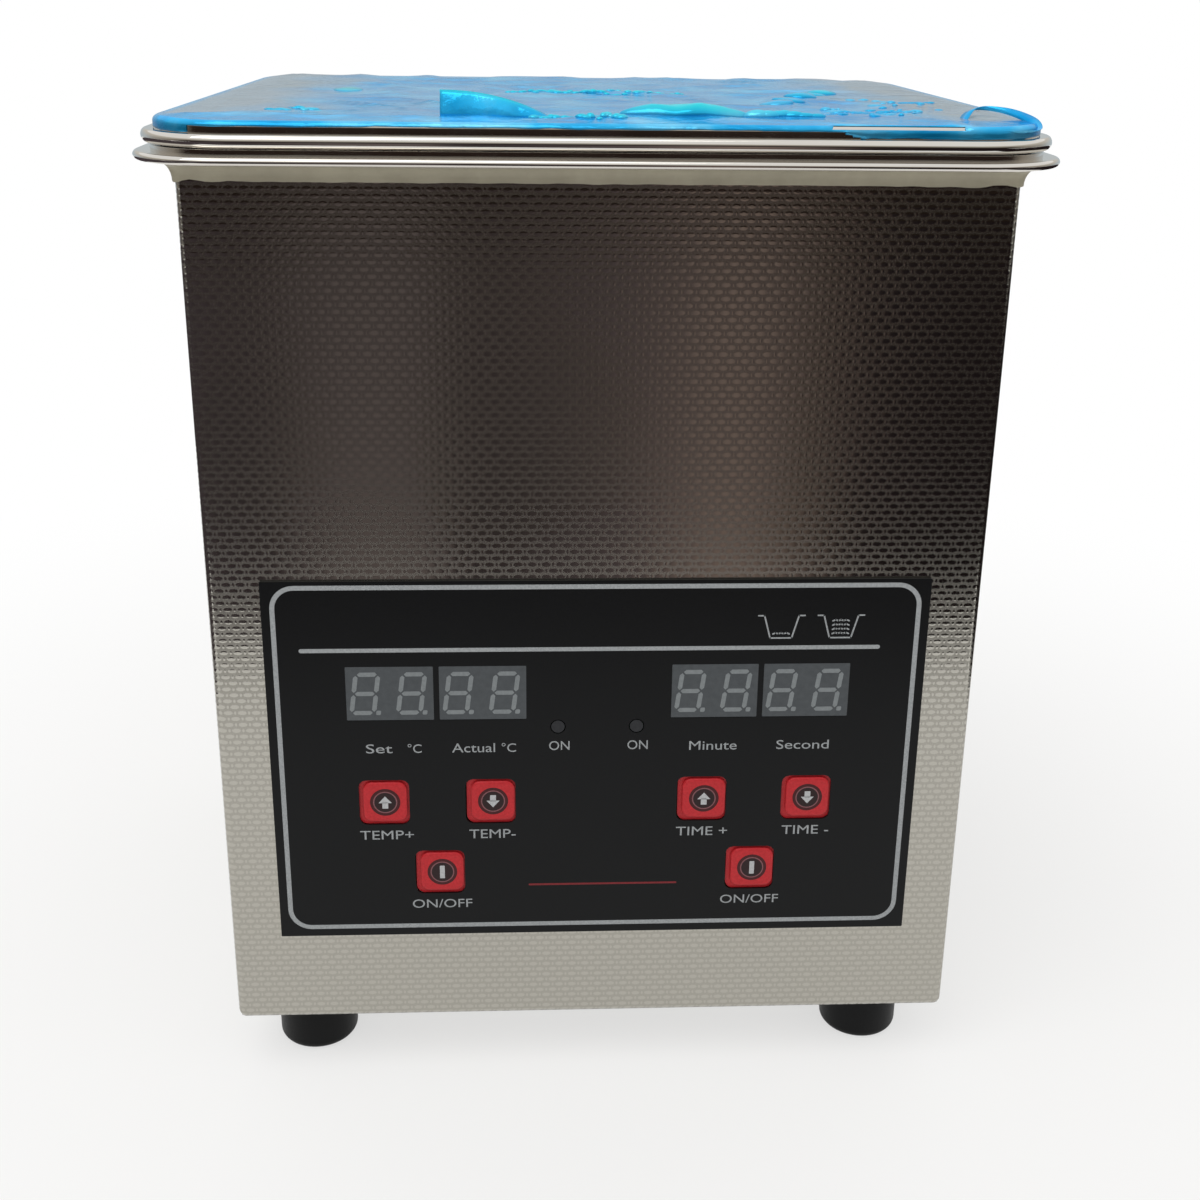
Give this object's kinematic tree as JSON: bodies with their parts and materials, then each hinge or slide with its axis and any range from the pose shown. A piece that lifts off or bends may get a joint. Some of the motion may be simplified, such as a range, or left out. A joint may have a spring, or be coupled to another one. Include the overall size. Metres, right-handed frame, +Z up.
{
  "type": "ultrasonic cleaner",
  "caption": "Bench ultrasonic cleaner: embossed steel case with a hemmed basin and loose tray lid, black panel with displays and red press keys, rubber feet.",
  "frame": {"origin": "on the table, under the middle of the case", "axes": "+Z up out of the tank, front panel towards -Y, +X to the right of someone facing the panel"},
  "size_m": [0.176, 0.162, 0.2092],
  "materials": {
    "embossed_steel": "embossed rice-grain stainless sheet",
    "polished_steel": "drawn stainless, polished",
    "plated_steel": "zinc plated",
    "aluminium": "turned",
    "copper": "bare sheet",
    "blue_film": "thin transit film",
    "cream_silicone": "matt bead",
    "black_rubber": "matt moulded",
    "black_overlay": "satin printed film",
    "grey_display": "satin",
    "dark_lens": "gloss",
    "red_key": "satin",
    "black_plastic": "moulded",
    "green_board": "solder mask",
    "piezo_ceramic": "fired",
    "heater_silicone": "matt sheet",
    "ferrite": "sintered",
    "blue_sleeve": "shrink sleeve"
  },
  "bodies": {
    "base": {"tank": "polished_steel", "rim_gasket": "cream_silicone", "housing_shell": "embossed_steel", "base_plate": "plated_steel", "foot_front_left": "black_rubber", "foot_front_right": "black_rubber", "foot_rear_left": "black_rubber", "foot_rear_right": "black_rubber", "foot_screw_front_left": "plated_steel", "foot_screw_front_right": "plated_steel", "foot_screw_rear_left": "plated_steel", "foot_screw_rear_right": "plated_steel", "front_overlay": "black_overlay", "display_set_temperature": "grey_display", "display_actual_temperature": "grey_display", "display_minutes": "grey_display", "display_seconds": "grey_display", "lamp_heater": "dark_lens", "lamp_timer": "dark_lens", "switch_temperature_up": "black_plastic", "switch_temperature_down": "black_plastic", "switch_time_up": "black_plastic", "switch_time_down": "black_plastic", "switch_heater_power": "black_plastic", "switch_timer_power": "black_plastic", "control_board": "green_board", "transducer_front_mass": "aluminium", "piezo_ring_upper": "piezo_ceramic", "transducer_electrode": "copper", "piezo_ring_lower": "piezo_ceramic", "transducer_back_mass": "plated_steel", "transducer_bolt": "plated_steel", "heater_pad": "heater_silicone", "temperature_sensor": "aluminium", "thermal_cutout": "black_plastic", "driver_board": "green_board", "transformer": "ferrite", "heat_sink": "aluminium", "capacitor": "blue_sleeve", "mains_inlet": "black_plastic", "inlet_screw_left": "plated_steel", "inlet_screw_right": "plated_steel"},
    "lid_tray": {"lid": "polished_steel", "protective_film": "blue_film"},
    "temperature_up_button": {"key_temperature_up": "red_key", "plunger_temperature_up": "black_plastic"},
    "temperature_down_button": {"key_temperature_down": "red_key", "plunger_temperature_down": "black_plastic"},
    "time_up_button": {"key_time_up": "red_key", "plunger_time_up": "black_plastic"},
    "time_down_button": {"key_time_down": "red_key", "plunger_time_down": "black_plastic"},
    "heater_power_button": {"key_heater_power": "red_key", "plunger_heater_power": "black_plastic"},
    "timer_power_button": {"key_timer_power": "red_key", "plunger_timer_power": "black_plastic"}
  },
  "joints": [
    {"name": "lid_lift", "type": "slide", "parent": "base", "child": "lid_tray", "axis": [0, 0, 1], "range_m": [0, 0.15]},
    {"name": "temperature_up_press", "type": "slide", "parent": "base", "child": "temperature_up_button", "axis": [0, 1, 0], "range_m": [0, 0.0004], "stiffness_N_per_m": 500},
    {"name": "temperature_down_press", "type": "slide", "parent": "base", "child": "temperature_down_button", "axis": [0, 1, 0], "range_m": [0, 0.0004], "stiffness_N_per_m": 500},
    {"name": "time_up_press", "type": "slide", "parent": "base", "child": "time_up_button", "axis": [0, 1, 0], "range_m": [0, 0.0004], "stiffness_N_per_m": 500},
    {"name": "time_down_press", "type": "slide", "parent": "base", "child": "time_down_button", "axis": [0, 1, 0], "range_m": [0, 0.0004], "stiffness_N_per_m": 500},
    {"name": "heater_power_press", "type": "slide", "parent": "base", "child": "heater_power_button", "axis": [0, 1, 0], "range_m": [0, 0.0004], "stiffness_N_per_m": 500},
    {"name": "timer_power_press", "type": "slide", "parent": "base", "child": "timer_power_button", "axis": [0, 1, 0], "range_m": [0, 0.0004], "stiffness_N_per_m": 500}
  ]
}
